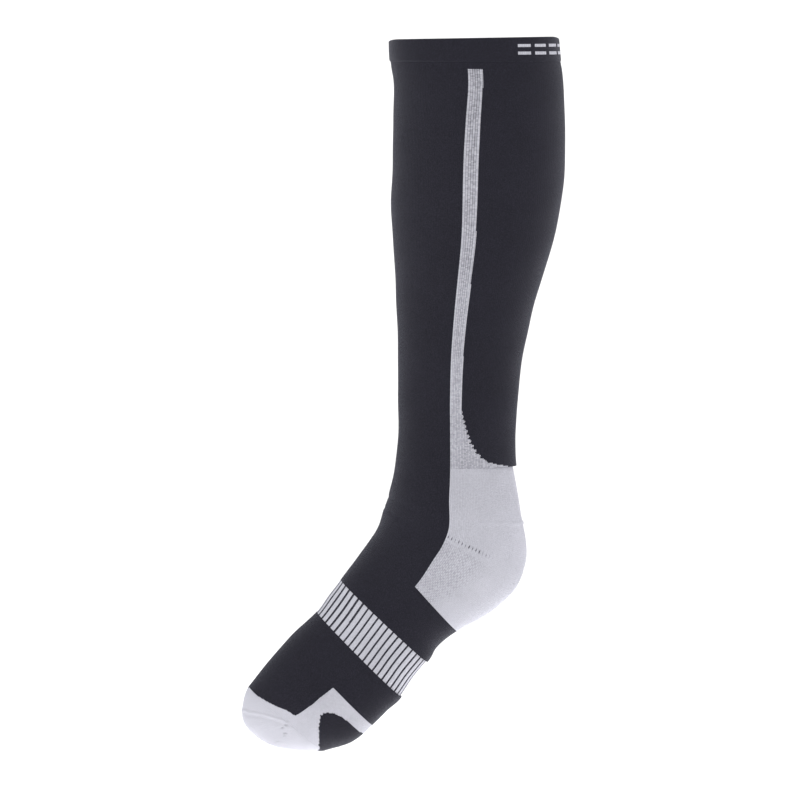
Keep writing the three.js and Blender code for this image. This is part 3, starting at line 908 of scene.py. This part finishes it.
class STOCKING_OT_leg(bpy.types.Operator):
    """Leg in two tubes, the calf part and the ankle part, with the side stripe knitted in"""

    bl_idname = "stocking.leg"
    bl_label = "Leg"

    def execute(self, context):
        parts = (
            ("calf", STATION["welt_end"], STATION["shin_1"], "cuff", ["upper_calf", "lower_calf"]),
            ("ankle", STATION["shin_1"], STATION["heel_top"], "calf", ["shin", "ankle"]),
        )
        for name, first, last, above, nodes in parts:
            rows = rows_with_finer_end(first, last, LEG_PITCH, FLARE_ROWS_START, FLARE_PITCH)
            piece = knitted_shell(name, rows, round_wales(), leg_relief, leg_yarn, LEG_WALL)
            finished(piece, material_of("plain_knit"), nodes, sheet_sizes(first, last))
        return {"FINISHED"}


class STOCKING_OT_heel(bpy.types.Operator):
    """Cushioned heel pocket, the back half of the tube between leg and foot"""

    bl_idname = "stocking.heel"
    bl_label = "Heel"

    def execute(self, context):
        first, last = STATION["heel_top"], STATION["heel_end"]
        rows, wales = rows_between(first, last, HEEL_PITCH), half_wales(0)
        piece = knitted_shell("heel", rows, wales, heel_relief, heel_yarn, CUSHION_WALL, joined=False)
        flat = sheet_sizes(first, last, HEEL_SHARE)
        finished(piece, material_of("cushioned_knit"), ["heel_splice", "heel"], flat)
        return {"FINISHED"}


class STOCKING_OT_instep(bpy.types.Operator):
    """Front half of the tube between leg and foot"""

    bl_idname = "stocking.instep"
    bl_label = "Instep"

    def execute(self, context):
        first, last = STATION["heel_top"], STATION["heel_end"]
        rows, wales = rows_between(first, last, INSTEP_PITCH), half_wales(HALF)
        piece = knitted_shell("instep", rows, wales, instep_relief, no_yarn, LEG_WALL, joined=False)
        flat = sheet_sizes(first, last, INSTEP_SHARE)
        finished(piece, material_of("plain_knit"), ["instep"], flat)
        return {"FINISHED"}


class STOCKING_OT_foot(bpy.types.Operator):
    """Plain tubes of the foot on either side of the arch band"""

    bl_idname = "stocking.foot"
    bl_label = "Foot"

    def execute(self, context):
        parts = (
            ("midfoot", STATION["heel_end"], STATION["band_top"], no_yarn, "heel", ["midfoot"]),
            ("forefoot", STATION["band_end"], TOE_START, toe_yarn, "arch_band", ["forefoot", "toe_base"]),
        )
        for name, first, last, yarn, above, nodes in parts:
            rows = rows_with_finer_end(first, last, FOOT_PITCH, TOE_EDGE_ROWS_START, TOE_EDGE_PITCH)
            piece = knitted_shell(name, rows, round_wales(), foot_relief, yarn, FOOT_WALL)
            finished(piece, material_of("plain_knit"), nodes, sheet_sizes(first, last))
        return {"FINISHED"}


class STOCKING_OT_arch_band(bpy.types.Operator):
    """Elastic band with raised ribs round the arch of the foot"""

    bl_idname = "stocking.arch_band"
    bl_label = "Arch band"

    def execute(self, context):
        first, last = STATION["band_top"], STATION["band_end"]
        rows = rows_between(first, last, BAND_PITCH)
        piece = knitted_shell("arch_band", rows, round_wales(), band_relief, band_yarn, FOOT_WALL)
        flat = sheet_sizes(first, last)
        finished(piece, material_of("ribbed_knit"), ["arch_band"], flat)
        return {"FINISHED"}


class STOCKING_OT_toe(bpy.types.Operator):
    """Cushioned toe cap with its seam"""

    bl_idname = "stocking.toe"
    bl_label = "Toe"

    def execute(self, context):
        rows = TOE_START + (TOE_LENGTH - TIP_GAP) * np.linspace(0, 1, TOE_ROWS) ** TOE_CROWDING
        piece = knitted_shell("toe", rows, round_wales(), toe_relief, toe_yarn, CUSHION_WALL, closed_end=True)
        # The cap is knitted as one pocket that narrows to the tip and widens again.
        half_ring, _ = sheet_sizes(TOE_START, TOE_START + 0.1, 0.5)
        _, length = sheet_sizes(TOE_START, TOE_END)
        flat = (half_ring, 2 * length)
        finished(piece, material_of("cushioned_knit"), ["toe"], flat)
        return {"FINISHED"}


def aimed(location, target):
    """Turn that points an object's -Z axis from its location to the target, with +Y up."""
    return (Vector(target) - Vector(location)).to_track_quat("-Z", "Y").to_euler()


def add_sweep(low):
    """White paper whose outline, carried along Y, is a flat floor at the height low, a quarter circle and
    an upright wall behind."""
    arc = np.radians(np.linspace(0, 90, 17))
    along = np.concatenate(
        [[SWEEP_FRONT], -SWEEP_REACH - SWEEP_RADIUS * np.sin(arc), [-SWEEP_REACH - SWEEP_RADIUS]]
    )
    height = np.concatenate([[0.0], SWEEP_RADIUS * (1 - np.cos(arc)), [SWEEP_HEIGHT]])
    sides = np.array([-SWEEP_HALF_WIDTH, SWEEP_HALF_WIDTH])
    points = np.stack([np.repeat(along, 2), np.tile(sides, len(along)), np.repeat(height + low, 2)], -1)
    k = np.arange(len(along) - 1) * 2
    mesh = bpy.data.meshes.new("floor")
    mesh.from_pydata(points, [], np.stack([k, k + 2, k + 3, k + 1], -1).tolist())
    mesh.shade_smooth()
    paper = NodeSheet("pale_paper")
    paper.put(paper.shader.inputs["Base Color"], (PAPER_WHITE, PAPER_WHITE, PAPER_WHITE, 1))
    paper.put(paper.shader.inputs["Roughness"], 0.9)
    mesh.materials.append(paper.material)
    floor = bpy.data.objects.new("floor", mesh)
    bpy.context.scene.collection.objects.link(floor)


def add_surround(strength):
    """Even white light from all round."""
    world = bpy.data.worlds.new("surround")
    world.use_nodes = True
    background = world.node_tree.nodes["Background"]
    background.inputs["Color"].default_value = (1, 1, 1, 1)
    background.inputs["Strength"].default_value = strength
    bpy.context.scene.world = world


def add_lamps(low):
    """Square soft lights round the stocking, over a floor at the height low."""
    middle = (CAD_BOX[0] + CAD_BOX[1]) / 2
    white = (1, 1, 1)
    # Name, place and size in metres, power in watts, colour, and where it points.
    lamps = (
        ("left_light", (-0.8, -2.4, -0.1), 2.0, 12.5, (0.96, 1.0, 0.98), middle),
        ("top_light", (0.3, -1.2, 1.3), 1.0, 8, white, middle),
        ("right_light", (-0.6, 2.4, 0.1), 2.0, 30, (0.98, 0.97, 1.0), middle),
        ("low_light", (-0.1, -0.075, low + LOW_LIGHT_RISE), 0.8, 7.3, white, middle),
        ("front_left_light", (2.0, -1.2, -0.5), 1.6, 23, white, middle),
        ("front_right_light", (2.0, 1.2, -0.5), 1.6, 23, white, middle),
        ("wall_light", (-1.2, 0.0, 1.8), 1.5, 60, white, WALL_LIGHT_AIM),
    )
    for name, place, size, power, colour, target in lamps:
        data = bpy.data.lights.new(name, "AREA")
        data.size, data.energy, data.color = size, power, colour
        lamp = bpy.data.objects.new(name, data)
        lamp.location = place
        lamp.rotation_euler = aimed(place, target)
        bpy.context.scene.collection.objects.link(lamp)


def add_camera(distance, rise, view_width):
    """Long lens on the outer side of the leg, at this distance and angle above the horizon."""
    x, y, z = VIEW_MIDDLE
    data = bpy.data.cameras.new("camera")
    data.lens = data.sensor_width * distance / view_width
    data.clip_end = 100
    camera = bpy.data.objects.new("camera", data)
    camera.location = (x + distance * math.cos(rise), y, z + distance * math.sin(rise))
    camera.rotation_euler = aimed(camera.location, VIEW_MIDDLE)
    bpy.context.scene.collection.objects.link(camera)
    bpy.context.scene.camera = camera


class STOCKING_OT_studio(bpy.types.Operator):
    """Plain pale floor that curves up behind, soft light all round, and the camera"""

    bl_idname = "stocking.studio"
    bl_label = "Studio"

    def execute(self, context):
        settings = context.scene.studio_settings
        low = CAD_BOX[0][2] - settings.floor_drop
        add_sweep(low)
        add_surround(settings.surround)
        add_lamps(low)
        add_camera(settings.camera_distance, settings.elevation, settings.view_width)
        context.scene.view_settings.view_transform = "Standard"
        return {"FINISHED"}


OPERATORS = (
    STOCKING_OT_cuff,
    STOCKING_OT_leg,
    STOCKING_OT_heel,
    STOCKING_OT_instep,
    STOCKING_OT_foot,
    STOCKING_OT_arch_band,
    STOCKING_OT_toe,
    STOCKING_OT_studio,
)


class STOCKING_PT_panel(bpy.types.Panel):
    """Lists the pieces and their settings"""

    bl_idname = "STOCKING_PT_panel"
    bl_label = "Stocking"
    bl_space_type = "VIEW_3D"
    bl_region_type = "UI"
    bl_category = "Stocking"

    def draw(self, context):
        for group in GROUPS:
            settings = getattr(context.scene, group)
            for key in settings.bl_rna.properties.keys():
                if key not in ("rna_type", "name"):
                    self.layout.prop(settings, key)
        for operator in OPERATORS:
            self.layout.operator(operator.bl_idname)


GROUPS = {
    "stocking_sizes": StockingSizes,
    "stocking_colours": StockingColours,
    "studio_settings": StudioSettings,
}


def register():
    for made in (*GROUPS.values(), *OPERATORS, STOCKING_PT_panel):
        bpy.utils.register_class(made)
    for name, group in GROUPS.items():
        setattr(bpy.types.Scene, name, bpy.props.PointerProperty(type=group))


def unregister():
    for name in GROUPS:
        delattr(bpy.types.Scene, name)
    for made in (STOCKING_PT_panel, *reversed(OPERATORS), *reversed(GROUPS.values())):
        bpy.utils.unregister_class(made)


def main():
    """Makes the whole scene."""
    register()
    for operator in OPERATORS:
        group, name = operator.bl_idname.split(".")
        getattr(getattr(bpy.ops, group), name)()


if __name__ == "__main__":
    main()
